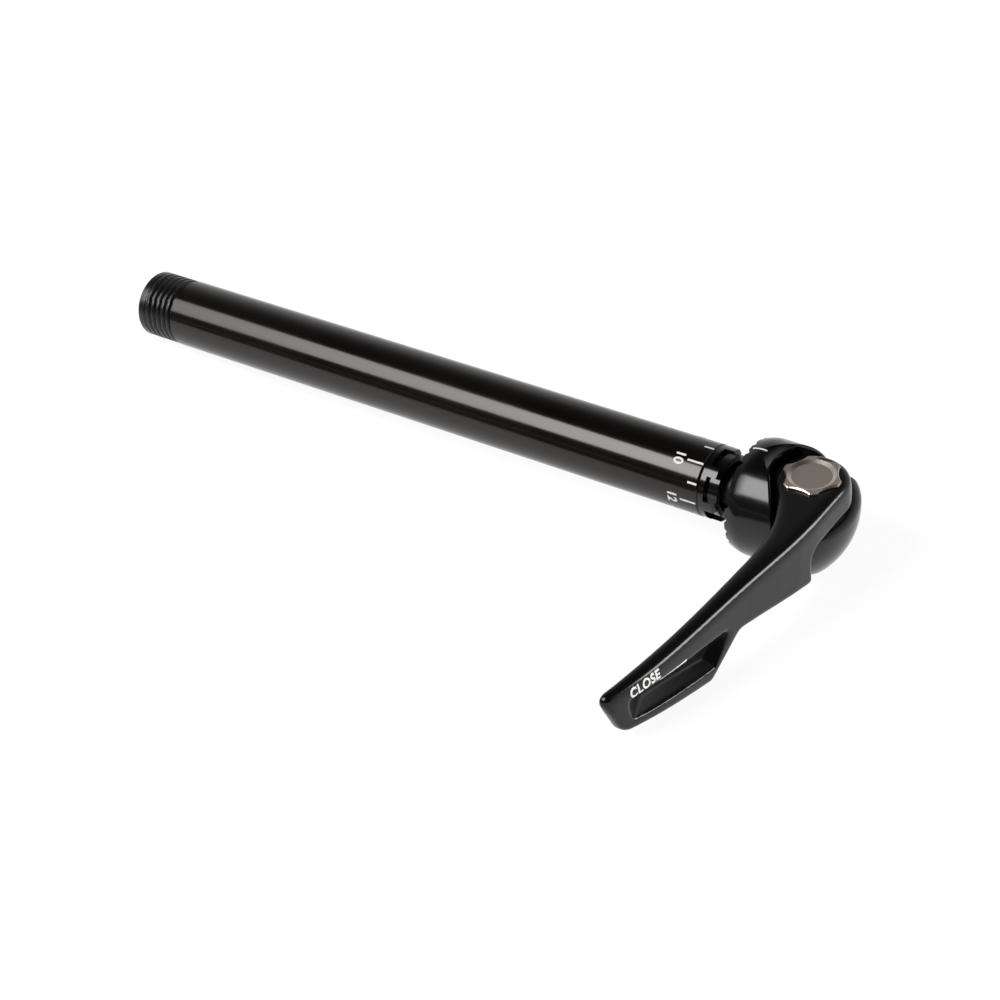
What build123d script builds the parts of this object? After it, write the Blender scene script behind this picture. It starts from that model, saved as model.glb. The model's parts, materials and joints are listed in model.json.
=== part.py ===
from build123d import *
import math
import os

# A 15 mm front thru axle with a cam lever, drawn in the axle's own frame: X runs along the axle from the
# thread end (x = 0) to the head, Z along the camshaft towards its star head, and the closed lever points
# along -Y. At the end every piece is laid down together, as the axle comes to rest on a table.

# Axle tube
AXLE_D = 15.0
TUBE_LENGTH = 149.4
THREAD_RELIEF = 0.075
THREAD_LENGTH = 9.0
THREAD_LEAD = 1.0
RUNOUT_LENGTH = 0.9
RUNOUT_DEPTH = 0.8
SEAM_EDGE = 0.3
SEAT_STEP = 0.8
SPRING_BORE_D = 12.0
SPRING_BORE_DEPTH = 25.0

# Index ring: spigot in the tube, castle flange outside it, 12-point bore
RING_RELIEF = 0.05
RING_LENGTH = 4.0
RING_SPIGOT = 3.6
RING_BORE_D = 10.6
RING_EDGE = 0.6
RING_LIP = 1.45
POCKET_COUNT = 6
POCKET_ARC = 41.0
POCKET_DEPTH = 1.0
POCKET_TURN = 35.0

# Hexagon follower, washer and return spring behind the ring
HEX_ACROSS_FLATS = 8.0
HEX_LENGTH = 3.2
HEX_PLAY = 0.1
SHOULDER_PLAY = 0.3
SHOULDER_LENGTH = 3.2
WASHER_PLAY = 0.3
WASHER_THICKNESS = 0.8
SPRING_WIRE_D = 1.2
SPRING_PLAY = 0.3
SPRING_TURNS = 6
SEAT_GAP = 0.05

# Draw rod
HEX_WALL = 1.0
TAIL_STICKOUT = 2.0
NECK_STEP = 0.1
NECK_PLAY = 0.05
TONGUE_WIDTH = 10.0
TONGUE_THICKNESS = 2.7
TONGUE_TOP = -0.3
TONGUE_GAP = 0.3
SEAL_WIRE_D = 1.5
SEAL_GROOVE_DEPTH = 0.4
SEAL_FROM_RIM = 1.7

# Cam housing: collar, dome and cap
COLLAR_GAP = 4.6
COLLAR_BEVEL = 0.7
COLLAR_SHOULDER = 2.2
SHOULDER_ROUND = 7.0
HOUSING_D = 24.0
DOME_HEIGHT = 5.42
CAP_REACH = 8.35
CAP_ROUND = 3.0
CUP_GAP = 0.85
CUP_DEPTH = 1.8
TOOTH_COUNT = 24
TOOTH_WIDTH = 1.5
TOOTH_DEPTH = 0.8
TOOTH_REACH = 2.3
PIN_FROM_COLLAR = 13.3
FLOOR_Z = 2.1
POCKET_GAP = 0.5
POCKET_HALF_ARC = 32.0
WEB_THICKNESS = 1.8
LIP_ROUND = 2.3
LIP_EDGE = 0.4
FLOOR_ROUND = 2.0

# Camshaft, its bushes and its clip
ECCENTRICITY = 0.8
CAM_D = 4.8
CAM_GAP = 0.15
CAM_STEP = 0.1
CAM_GAIN = 0.78
SWING = 150.0
JOURNAL_PLAY = 0.05
BUSH_WALL = 1.2
BUSH_FLANGE_D = 12.4
BUSH_FLANGE_GAP = 0.05
LOWER_BUSH_LENGTH = 4.7
DRIVE_ACROSS_FLATS = 8.4
DRIVE_HEIGHT = 3.8
CLIP_THICKNESS = 0.5
CLIP_D = 6.4
CLIP_GROOVE_DEPTH = 0.4
CLIP_MOUTH = 2.2
SHAFT_WASHER_D = 7.4
SHAFT_WASHER_THICKNESS = 0.5
SHAFT_END = 1.0
CLIP_RECESS_D = 8.6

# Star head
STAR_D = 12.0
STAR_POINTS = 6
STAR_HEIGHT = 0.5
SCALLOP_DEPTH = 0.95
SCALLOP_R = 6.0
STAR_EDGE = 0.2
DISH_RIM = 0.3
DISH_SLOPE = 0.8
DISH_DEPTH = 0.4

# Lever
EYE_D = 15.0
ARM_GAP = 0.4
ARM_DEPTH = 6.3
NOTCH_GAP = 1.3
NOTCH_R = 2.8
HEEL_Z = -4.9
WAIST = (-35.5, -0.5)
LOOP_CORNER = (-44.5, -6.35)
TIP_BOTTOM = (-67.8, -1.3)
TIP_TOP_Y = -71.8
HEEL_R = 1.0
WAIST_R = 2.0
LOOP_R = 2.0
TIP_BOTTOM_R = 3.5
TIP_TOP_R = 1.6
OUTER_FLANK = [(0.1, -8.0), (0.55, -17.5), (2.1, -29.5), (3.4, -40.6), (5.5, -58.0), (9.15, -72.6)]
INNER_TURN = 230.1
INNER_FLANK = [(8.9, -11.6), (7.0, -18.0), (6.7, -29.5), (8.5, -54.6), (11.3, -72.6)]
CROWN_ROUND = 1.0
RECESS_FROM_SIDE = 5.25
RECESS_Y = -52.2
RECESS_TURN = 8.4
RECESS_DEPTH = 2.3
RECESS_MOUTH = [(14.0, 2.1), (-14.4, 5.4), (-13.8, 0.5), (8.7, -3.5)]
RECESS_FLOOR = [(11.0, 1.6), (-9.8, 4.2), (-9.0, 1.8), (7.7, -2.0)]
RECESS_R = 0.7

# Sizes that follow from fits
THREAD_D = AXLE_D - 2 * THREAD_RELIEF
RING_D = AXLE_D - 2 * RING_RELIEF
TUBE_BORE_D = SPRING_BORE_D - 2 * SEAT_STEP
SHOULDER_D = SPRING_BORE_D - 2 * SHOULDER_PLAY
SPRING_D = SPRING_BORE_D - 2 * SPRING_PLAY
TAIL_D = HEX_ACROSS_FLATS - 2 * HEX_WALL
NECK_D = HEX_ACROSS_FLATS - 2 * NECK_STEP
WASHER_BORE_D = TAIL_D + 2 * WASHER_PLAY
CUP_D = RING_D + 2 * CUP_GAP
COLLAR_RIM_D = HOUSING_D - 2 * COLLAR_BEVEL
TOOTH_INNER_D = HOUSING_D - 2 * TOOTH_REACH
POCKET_R = EYE_D / 2 + POCKET_GAP
NOTCH_Y = -HOUSING_D / 2 - NOTCH_GAP
STAR_VALLEY_D = STAR_D - 2 * SCALLOP_DEPTH
DISH_D = STAR_VALLEY_D - 2 * DISH_RIM
DISH_FLOOR_D = DISH_D - 2 * DISH_SLOPE

# Places along the axle
RING_END = TUBE_LENGTH + RING_LENGTH
COLLAR_FACE = RING_END + COLLAR_GAP
PIN_X = COLLAR_FACE + PIN_FROM_COLLAR
SPIGOT_X = TUBE_LENGTH - RING_SPIGOT
SPRING_SEAT_X = TUBE_LENGTH - SPRING_BORE_DEPTH
SHOULDER_X = SPIGOT_X - SEAT_GAP - SHOULDER_LENGTH
NECK_X = SPIGOT_X - SEAT_GAP + HEX_LENGTH
WASHER_X = SHOULDER_X - SEAT_GAP - WASHER_THICKNESS
CUP_FLOOR = COLLAR_FACE + CUP_DEPTH
WEB_END = CUP_FLOOR + WEB_THICKNESS
SLOT_X = PIN_X + ECCENTRICITY * CAM_GAIN * math.radians(SWING / 2)

# Heights along the camshaft
ARM_BOTTOM = FLOOR_Z + ARM_GAP
LEVER_TOP = ARM_BOTTOM + ARM_DEPTH
CHAMBER_TOP = TONGUE_TOP + TONGUE_GAP
CHAMBER_BOTTOM = TONGUE_TOP - TONGUE_THICKNESS - TONGUE_GAP
UPPER_JOURNAL_D = CAM_D + 2 * (ECCENTRICITY + CAM_STEP)
LOWER_JOURNAL_D = CAM_D - 2 * (ECCENTRICITY + CAM_STEP)
DRIVE_BOTTOM = LEVER_TOP - DRIVE_HEIGHT
RECESS_TOP = CHAMBER_BOTTOM - LOWER_BUSH_LENGTH
CLIP_TOP = RECESS_TOP - 2 * SEAT_GAP - SHAFT_WASHER_THICKNESS
STAR_TOP = LEVER_TOP + STAR_HEIGHT


def turned(points):
    """A solid turned about the axle from (x, radius) corners."""
    return revolve(Plane.XZ * make_face(Polyline(*points, close=True)), Axis.X)


def shaft(points):
    """A solid turned about the camshaft from (radius, z) corners."""
    return Pos(PIN_X, 0, 0) * revolve(Plane.XZ * make_face(Polyline(*points, close=True)), Axis.Z)


def across(x, sketch, length):
    """A sketch in the plane across the axle at x, drawn out towards the head."""
    return extrude(Plane.YZ.offset(x) * sketch, length)


def upright(z, sketch, height):
    """A sketch about the camshaft at height z, drawn out upwards."""
    return Pos(PIN_X, 0, z) * extrude(sketch, height)


def axle_tube():
    """Tube with a lead-in, a thread at its major diameter, its run-out and a wider spring bore."""
    runout_x = THREAD_LENGTH - RUNOUT_LENGTH
    runout_r = THREAD_D / 2 - RUNOUT_DEPTH
    body = turned([
        (0, 0),
        (0, THREAD_D / 2 - THREAD_LEAD),
        (THREAD_LEAD, THREAD_D / 2),
        (runout_x, THREAD_D / 2),
        (runout_x, runout_r),
        (THREAD_LENGTH, runout_r),
        (THREAD_LENGTH, AXLE_D / 2),
        (TUBE_LENGTH - SEAM_EDGE, AXLE_D / 2),
        (TUBE_LENGTH, AXLE_D / 2 - SEAM_EDGE),
        (TUBE_LENGTH, 0),
    ])
    body -= across(0, Circle(TUBE_BORE_D / 2), TUBE_LENGTH)
    body -= across(SPRING_SEAT_X, Circle(SPRING_BORE_D / 2), SPRING_BORE_DEPTH)
    return body


def index_ring():
    """Castle ring: spigot in the tube, six open pockets in the flange, two crossed hexagons as bore."""
    body = turned([
        (SPIGOT_X, 0),
        (SPIGOT_X, SPRING_BORE_D / 2),
        (TUBE_LENGTH, SPRING_BORE_D / 2),
        (TUBE_LENGTH, RING_D / 2 - SEAM_EDGE),
        (TUBE_LENGTH + SEAM_EDGE, RING_D / 2),
        (RING_END - RING_EDGE, RING_D / 2),
        (RING_END, RING_D / 2 - RING_EDGE),
        (RING_END, 0),
    ])
    hexagon = RegularPolygon(HEX_ACROSS_FLATS / 2 + HEX_PLAY, 6, major_radius=False)
    body -= across(SPIGOT_X, hexagon + Rot(0, 0, 30) * hexagon, RING_SPIGOT)
    body -= across(TUBE_LENGTH, Circle(RING_BORE_D / 2), RING_LENGTH)
    reach = RING_D
    half = math.radians(POCKET_ARC / 2)
    rim = (reach * math.cos(half), reach * math.sin(half))
    wedge = make_face(Polyline((0, 0), rim, (rim[0], -rim[1]), close=True))
    pocket = wedge - Circle(RING_D / 2 - POCKET_DEPTH)
    pockets = [place * pocket for place in PolarLocations(0, POCKET_COUNT, POCKET_TURN)]
    for outline in pockets:
        body -= across(TUBE_LENGTH + RING_LIP, outline, RING_LENGTH)
    return body


def return_spring():
    """Compression coil between the tube's inner step and the washer."""
    wire = SPRING_WIRE_D / 2
    start = SPRING_SEAT_X + SEAT_GAP + wire
    height = WASHER_X - SEAT_GAP - wire - start
    coil_r = SPRING_D / 2 - wire
    path = Helix(height / SPRING_TURNS, height, coil_r)
    section = Plane(path @ 0, z_dir=path % 0) * Circle(wire)
    return Pos(start, 0, 0) * Rot(0, 90, 0) * sweep(section, path)


def thrust_washer():
    """Plain washer that lets the follower turn against the spring."""
    ring = Circle(SHOULDER_D / 2) - Circle(WASHER_BORE_D / 2)
    return across(WASHER_X, ring, WASHER_THICKNESS)


def hex_follower():
    """Shoulder and hexagon on the rod's tail."""
    body = across(SHOULDER_X, Circle(SHOULDER_D / 2), SHOULDER_LENGTH)
    hexagon = RegularPolygon(HEX_ACROSS_FLATS / 2, 6, major_radius=False)
    body += across(SHOULDER_X + SHOULDER_LENGTH, hexagon, HEX_LENGTH)
    body -= across(SHOULDER_X, Circle(TAIL_D / 2), SHOULDER_LENGTH + HEX_LENGTH)
    return body


def tongue_outline(play):
    """Plan of the rod's flat tongue about the camshaft, wider by the play all round."""
    half = TONGUE_WIDTH / 2 + play
    start = CUP_FLOOR - PIN_X
    end = SLOT_X - PIN_X
    bar = Pos((start + end) / 2, 0) * Rectangle(end - start, 2 * half)
    return bar + Pos(end, 0) * Circle(half)


def draw_rod():
    """Rod with a tail for the follower, a neck with a seal groove, and a tongue slotted for the cam."""
    body = turned([
        (SHOULDER_X - TAIL_STICKOUT, 0),
        (SHOULDER_X - TAIL_STICKOUT, TAIL_D / 2),
        (NECK_X, TAIL_D / 2),
        (NECK_X, NECK_D / 2),
        (WEB_END - TONGUE_GAP, NECK_D / 2),
        (WEB_END - TONGUE_GAP, 0),
    ])
    groove = Circle(NECK_D / 2) - Circle(NECK_D / 2 - SEAL_GROOVE_DEPTH)
    body -= across(COLLAR_FACE - SEAL_FROM_RIM - SEAL_WIRE_D / 2, groove, SEAL_WIRE_D)
    body += upright(TONGUE_TOP - TONGUE_THICKNESS, tongue_outline(0), TONGUE_THICKNESS)
    slot_width = CAM_D + 2 * CAM_GAP
    slot = SlotOverall(slot_width + 2 * ECCENTRICITY, slot_width, rotation=90)
    body -= upright(CHAMBER_BOTTOM, Pos(SLOT_X - PIN_X, 0) * slot, CHAMBER_TOP - CHAMBER_BOTTOM)
    return body


def neck_seal():
    """Rubber ring in the neck's groove."""
    wire = SEAL_WIRE_D / 2
    ring_r = NECK_D / 2 - SEAL_GROOVE_DEPTH + wire
    return Pos(COLLAR_FACE - SEAL_FROM_RIM, 0, 0) * Rot(0, 90, 0) * Torus(ring_r, wire)


def housing_blank():
    """Collar, barrel and domed cap, turned about the axle."""
    apex = (PIN_X + CAP_REACH, 0)
    rim_x = apex[0] - DOME_HEIGHT
    dome_r = (DOME_HEIGHT**2 + (HOUSING_D / 2) ** 2) / (2 * DOME_HEIGHT)
    middle = math.asin(HOUSING_D / 2 / dome_r) / 2
    dome_middle = (apex[0] - dome_r * (1 - math.cos(middle)), dome_r * math.sin(middle))
    outline = Polyline(
        (COLLAR_FACE, 0),
        (COLLAR_FACE, COLLAR_RIM_D / 2),
        (COLLAR_FACE + COLLAR_SHOULDER, HOUSING_D / 2),
        (rim_x, HOUSING_D / 2),
    )
    outline += ThreePointArc((rim_x, HOUSING_D / 2), dome_middle, apex)
    outline += Line(apex, (COLLAR_FACE, 0))
    blank = revolve(Plane.XZ * make_face(outline), Axis.X)
    rims = blank.edges().filter_by(GeomType.CIRCLE)
    cap_rim = rims.sort_by(lambda edge: abs(edge.center().X - rim_x))[0]
    blank = fillet(cap_rim, CAP_ROUND)
    shoulder_x = COLLAR_FACE + COLLAR_SHOULDER
    rims = blank.edges().filter_by(GeomType.CIRCLE)
    shoulder = rims.sort_by(lambda edge: abs(edge.center().X - shoulder_x))[0]
    return fillet(shoulder, SHOULDER_ROUND)


def lever_pocket():
    """Space above the housing's floor in which the lever's eye turns: an arc with straight mouths."""
    half = math.radians(POCKET_HALF_ARC)
    reach = HOUSING_D
    corner = (-POCKET_R * math.cos(half), POCKET_R * math.sin(half))
    mouth = (corner[0] + (reach - corner[1]) * math.tan(half), reach)
    outline = ThreePointArc(corner, (-POCKET_R, 0), (corner[0], -corner[1]))
    outline += Polyline(
        (corner[0], -corner[1]),
        (mouth[0], -mouth[1]),
        (reach, -reach),
        (reach, reach),
        mouth,
        corner,
    )
    return upright(FLOOR_Z, make_face(outline), 2 * HOUSING_D)


def lip_round():
    """Cutter that rounds the collar's top down to the pocket, about the camshaft."""
    top = HOUSING_D / 2
    low = top - LIP_ROUND
    outer = POCKET_R + LIP_ROUND
    bend = LIP_ROUND * math.sqrt(0.5)
    arc = ThreePointArc((POCKET_R, low), (outer - bend, low + bend), (outer, top))
    line = Polyline((outer, top), (outer, HOUSING_D), (0, HOUSING_D), (0, low), (POCKET_R, low))
    return Pos(PIN_X, 0, 0) * revolve(Plane.XZ * make_face(arc + line), Axis.Z)


def rim_teeth():
    """Radial grooves round the collar's clamping rim."""
    plane = Plane((COLLAR_FACE, 0, TOOTH_INNER_D / 2), x_dir=(0, 1, 0), z_dir=(0, 0, 1))
    notch = make_face(Polyline((-TOOTH_WIDTH / 2, 0), (TOOTH_WIDTH / 2, 0), (0, -TOOTH_DEPTH), close=True))
    groove = extrude(plane * notch, HOUSING_D / 2)
    return [Rot(360 / TOOTH_COUNT * (k + 0.5), 0, 0) * groove for k in range(TOOTH_COUNT)]


def housing_shell():
    """Outer form: collar with rounded lips round the lever's pocket, on a base with a rounded deck."""
    blank = housing_blank()
    collar = blank - Pos(0, 0, -HOUSING_D) * lever_pocket()
    shoulder_x = COLLAR_FACE + COLLAR_SHOULDER
    lips = collar.edges().filter_by(lambda edge: edge.center().X > shoulder_x)
    collar = fillet(lips.filter_by(GeomType.LINE, reverse=True), LIP_EDGE) - lip_round()
    under = Pos(PIN_X, 0, FLOOR_Z - HOUSING_D) * Box(4 * HOUSING_D, 4 * HOUSING_D, 2 * HOUSING_D)
    base = blank & under
    deck = base.faces().filter_by(Axis.Z).sort_by(Axis.Z)[-1]
    rim = deck.edges().filter_by(lambda edge: edge.center().X > shoulder_x)
    return collar + fillet(rim, FLOOR_ROUND)


def cam_housing():
    """Housing with the lever's pocket, the cup for the ring, the rod's passage and the camshaft's bores."""
    body = housing_shell()
    body -= rim_teeth()
    body -= across(COLLAR_FACE, Circle(CUP_D / 2), CUP_DEPTH)
    body -= across(CUP_FLOOR, Circle(NECK_D / 2 + NECK_PLAY), WEB_THICKNESS)
    body -= upright(CHAMBER_BOTTOM, tongue_outline(TONGUE_GAP), CHAMBER_TOP - CHAMBER_BOTTOM)
    body -= upright(CHAMBER_TOP, Circle(UPPER_JOURNAL_D / 2 + BUSH_WALL), HOUSING_D)
    body -= upright(RECESS_TOP, Circle(LOWER_JOURNAL_D / 2 + BUSH_WALL), LOWER_BUSH_LENGTH)
    body -= upright(RECESS_TOP - HOUSING_D, Circle(CLIP_RECESS_D / 2), HOUSING_D)
    return body


def upper_bush():
    """Flanged bush in the housing's floor; its flange carries the lever."""
    inner = UPPER_JOURNAL_D / 2 + JOURNAL_PLAY
    outer = UPPER_JOURNAL_D / 2 + BUSH_WALL
    return shaft([
        (inner, CHAMBER_TOP),
        (outer, CHAMBER_TOP),
        (outer, FLOOR_Z),
        (BUSH_FLANGE_D / 2, FLOOR_Z),
        (BUSH_FLANGE_D / 2, ARM_BOTTOM - BUSH_FLANGE_GAP),
        (inner, ARM_BOTTOM - BUSH_FLANGE_GAP),
    ])


def lower_bush():
    """Plain bush under the cam chamber."""
    inner = LOWER_JOURNAL_D / 2 + JOURNAL_PLAY
    outer = LOWER_JOURNAL_D / 2 + BUSH_WALL
    return shaft([
        (inner, RECESS_TOP),
        (outer, RECESS_TOP),
        (outer, CHAMBER_BOTTOM),
        (inner, CHAMBER_BOTTOM),
    ])


def star_outline():
    """Round head with a scallop between each pair of points."""
    scallops = PolarLocations(STAR_VALLEY_D / 2 + SCALLOP_R, STAR_POINTS, 180 / STAR_POINTS)
    outline = Circle(STAR_D / 2)
    for place in scallops:
        outline -= place * Circle(SCALLOP_R)
    return fillet(outline.vertices(), STAR_EDGE * 2)


def camshaft():
    """Star head, hexagon drive, two journals and the eccentric between them."""
    head = upright(LEVER_TOP, star_outline(), STAR_HEIGHT)
    head = chamfer(head.faces().sort_by(Axis.Z)[-1].edges(), STAR_EDGE)
    head -= shaft([
        (0, STAR_TOP),
        (DISH_D / 2, STAR_TOP),
        (DISH_FLOOR_D / 2, STAR_TOP - DISH_DEPTH),
        (0, STAR_TOP - DISH_DEPTH),
    ])
    drive = RegularPolygon(DRIVE_ACROSS_FLATS / 2, 6, major_radius=False)
    body = head + upright(DRIVE_BOTTOM, drive, DRIVE_HEIGHT)
    body += upright(CHAMBER_TOP, Circle(UPPER_JOURNAL_D / 2), DRIVE_BOTTOM - CHAMBER_TOP)
    lead = math.radians(90 - SWING / 2)
    throw = Pos(ECCENTRICITY * math.cos(lead), ECCENTRICITY * math.sin(lead))
    body += upright(CHAMBER_BOTTOM, throw * Circle(CAM_D / 2), CHAMBER_TOP - CHAMBER_BOTTOM)
    bottom = CLIP_TOP - CLIP_THICKNESS - SHAFT_END
    body += upright(bottom, Circle(LOWER_JOURNAL_D / 2), CHAMBER_BOTTOM - bottom)
    groove = Circle(LOWER_JOURNAL_D / 2) - Circle(LOWER_JOURNAL_D / 2 - CLIP_GROOVE_DEPTH)
    body -= upright(CLIP_TOP - CLIP_THICKNESS, groove, CLIP_THICKNESS)
    return body


def shaft_washer():
    """Washer between the housing and the clip."""
    ring = Circle(SHAFT_WASHER_D / 2) - Circle(LOWER_JOURNAL_D / 2 + JOURNAL_PLAY)
    return upright(CLIP_TOP + SEAT_GAP, ring, SHAFT_WASHER_THICKNESS)


def circlip():
    """Open clip in the camshaft's groove."""
    ring = Circle(CLIP_D / 2) - Circle(LOWER_JOURNAL_D / 2 - CLIP_GROOVE_DEPTH)
    ring -= Pos(CLIP_D / 2, 0) * Rectangle(CLIP_D, CLIP_MOUTH)
    return upright(CLIP_TOP - CLIP_THICKNESS, ring, CLIP_THICKNESS)


def lever_side():
    """Side view of the lever in the plane across the axle: arm, notch, heel, waist, loop and tip."""
    points = [
        (EYE_D, LEVER_TOP),
        (TIP_TOP_Y, LEVER_TOP),
        TIP_BOTTOM,
        LOOP_CORNER,
        WAIST,
        (NOTCH_Y, HEEL_Z),
        (NOTCH_Y, ARM_BOTTOM),
        (EYE_D, ARM_BOTTOM),
    ]
    radii = [0, TIP_TOP_R, TIP_BOTTOM_R, LOOP_R, WAIST_R, HEEL_R, NOTCH_R, 0]
    return make_face(FilletPolyline(*points, radius=radii, close=True))


def lever_plan():
    """Plan of the lever about the camshaft."""
    side = EYE_D / 2
    outer = [(side - x, y) for x, y in OUTER_FLANK]
    turn = math.radians(INNER_TURN)
    start = (side * math.cos(turn), side * math.sin(turn))
    inner = [start] + [(side - x, y) for x, y in INNER_FLANK]
    line = Line((side, 0), outer[0]) + Spline(*outer)
    line += Line(outer[-1], inner[-1]) + Spline(*reversed(inner))
    line += Polyline(start, (0, 0), (side, 0))
    return make_face(line) + Circle(side)


def thumb_recess():
    """Cutter for the blade's pocket: a mouth at the outer face, sloped walls and a smaller floor."""
    turn = math.radians(RECESS_TURN)
    along = (math.sin(turn), math.cos(turn), 0)
    out = (math.cos(turn), -math.sin(turn), 0)
    face = Plane((PIN_X + EYE_D / 2 - RECESS_FROM_SIDE, RECESS_Y, 0), x_dir=along, z_dir=out)
    floor = make_face(FilletPolyline(*RECESS_FLOOR, radius=RECESS_R, close=True))
    mouth = make_face(FilletPolyline(*RECESS_MOUTH, radius=RECESS_R, close=True))
    sloped = loft([face.offset(-RECESS_DEPTH) * floor, face * mouth], ruled=True)
    return sloped + extrude(face * mouth, EYE_D)


def lever():
    """Curved lever: an eye on the camshaft's drive, an arm over the housing, a blade with a thumb recess."""
    depth = LEVER_TOP - LOOP_CORNER[1]
    blank = upright(LOOP_CORNER[1], lever_plan(), depth)
    body = blank & across(PIN_X - EYE_D, lever_side(), 2 * EYE_D)
    crown = body.faces().filter_by(Axis.Z).sort_by(Axis.Z)[-1]
    body = fillet(crown.edges(), CROWN_ROUND)
    body -= thumb_recess()
    drive = RegularPolygon(DRIVE_ACROSS_FLATS / 2, 6, major_radius=False)
    body -= upright(DRIVE_BOTTOM, drive, DRIVE_HEIGHT)
    body -= upright(ARM_BOTTOM, Circle(UPPER_JOURNAL_D / 2 + JOURNAL_PLAY), DRIVE_BOTTOM - ARM_BOTTOM)
    return body


def rest():
    """Where the axle comes to rest: on its thread end, the collar's shoulder and the lever's loop."""
    rise = (HOUSING_D - THREAD_D) / 2
    run = COLLAR_FACE + COLLAR_SHOULDER - THREAD_LEAD
    pitch = math.atan2(rise, run)
    arcs = lever_side().edges().filter_by(GeomType.CIRCLE)
    loop = arcs.sort_by(Axis.Y)[0]
    y, z = loop.arc_center.X, loop.arc_center.Y
    depth = THREAD_D / 2 + math.tan(pitch) * (PIN_X - THREAD_LEAD) - LOOP_R
    roll = math.asin(depth / math.hypot(y, z)) - math.atan2(-z, -y)
    return Rot(0, -math.degrees(pitch), 0) * Rot(math.degrees(roll), 0, 0)


MAKERS = [
    axle_tube,
    index_ring,
    return_spring,
    thrust_washer,
    hex_follower,
    draw_rod,
    neck_seal,
    cam_housing,
    upper_bush,
    lower_bush,
    lever,
    camshaft,
    shaft_washer,
    circlip,
]

turn = rest()
pieces = {maker.__name__: turn * maker() for maker in MAKERS}
box = Compound(list(pieces.values())).bounding_box()
origin = Pos(-box.center().X, -box.center().Y, -box.min.Z)
placement = origin * turn

os.makedirs("parts", exist_ok=True)
for name, piece in pieces.items():
    export_step(origin * piece, f"parts/{name}.step")
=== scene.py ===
"""Looks of a bicycle thru axle with a cam lever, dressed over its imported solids.

Sizes are millimetres in the axle's own frame: X runs from the thread end to the head, Z up the camshaft, and
the closed lever points along -Y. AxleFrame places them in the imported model, which is in metres.
"""

import json
import logging
import math
from dataclasses import dataclass
from enum import Enum
from typing import Callable, Sequence

import bpy
from mathutils import Matrix, Vector
from mathutils.bvhtree import BVHTree

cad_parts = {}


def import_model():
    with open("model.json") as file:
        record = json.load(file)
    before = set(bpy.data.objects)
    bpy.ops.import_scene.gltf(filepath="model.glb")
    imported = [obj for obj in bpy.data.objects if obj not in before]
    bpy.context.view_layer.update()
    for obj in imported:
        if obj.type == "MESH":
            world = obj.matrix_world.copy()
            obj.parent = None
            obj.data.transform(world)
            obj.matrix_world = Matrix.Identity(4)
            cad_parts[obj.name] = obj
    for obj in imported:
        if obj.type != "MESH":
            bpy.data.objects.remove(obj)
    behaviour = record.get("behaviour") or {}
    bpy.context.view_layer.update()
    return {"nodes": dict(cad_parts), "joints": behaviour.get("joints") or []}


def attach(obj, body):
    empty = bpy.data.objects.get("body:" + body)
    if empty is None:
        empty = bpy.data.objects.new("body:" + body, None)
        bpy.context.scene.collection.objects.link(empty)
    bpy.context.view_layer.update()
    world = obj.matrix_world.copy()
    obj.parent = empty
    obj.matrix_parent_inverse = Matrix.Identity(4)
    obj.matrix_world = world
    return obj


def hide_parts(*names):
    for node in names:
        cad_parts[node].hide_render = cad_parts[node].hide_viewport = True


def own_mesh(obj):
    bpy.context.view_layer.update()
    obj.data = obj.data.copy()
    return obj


LOG = logging.getLogger("thru_axle")
# One millimetre in metres, and a length in millimetres that counts as none.
MM = 0.001
TINY = 0.001
PIN_X = 171.3

Point = tuple[float, float, float]
Colour = tuple[float, float, float]
Lay = Callable[[float, float], tuple[Vector, Vector]]


def held(value: float) -> float:
    """A value, held between 0 and 1."""
    return min(max(value, 0.0), 1.0)


def fill(node: bpy.types.Node, values: dict[str, float | Sequence[float]]) -> None:
    """Set a node's input sockets by name."""
    for socket, value in values.items():
        node.inputs[socket].default_value = value


@dataclass(frozen=True)
class AxleFrame:
    """The axle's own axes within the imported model."""

    matrix: Matrix

    @classmethod
    def from_joints(cls, joints: Sequence[dict]) -> "AxleFrame":
        """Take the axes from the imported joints.

        Args:
            joints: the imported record's joints.

        Returns:
            The frame whose X is the axle and whose Z is the camshaft.
        """
        named = {joint["name"]: joint for joint in joints}
        swing = named["lever_swing"]
        along = Vector(named["index_turn"]["axis"]).normalized()
        up = Vector(swing["axis"]).normalized()
        turn = Matrix((along, up.cross(along), up)).transposed()
        origin = Vector(swing["pos_m"]) - along * PIN_X * MM
        return cls(Matrix.Translation(origin) @ turn.to_4x4() @ Matrix.Scale(MM, 4))

    def place(self, point: Point) -> Vector:
        """A point of the axle's frame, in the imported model's metres."""
        return self.matrix @ Vector(point)

    def direction(self, way: Point) -> Vector:
        """A direction of the axle's frame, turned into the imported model's axes."""
        return (self.matrix.to_3x3() @ Vector(way)).normalized()


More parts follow.
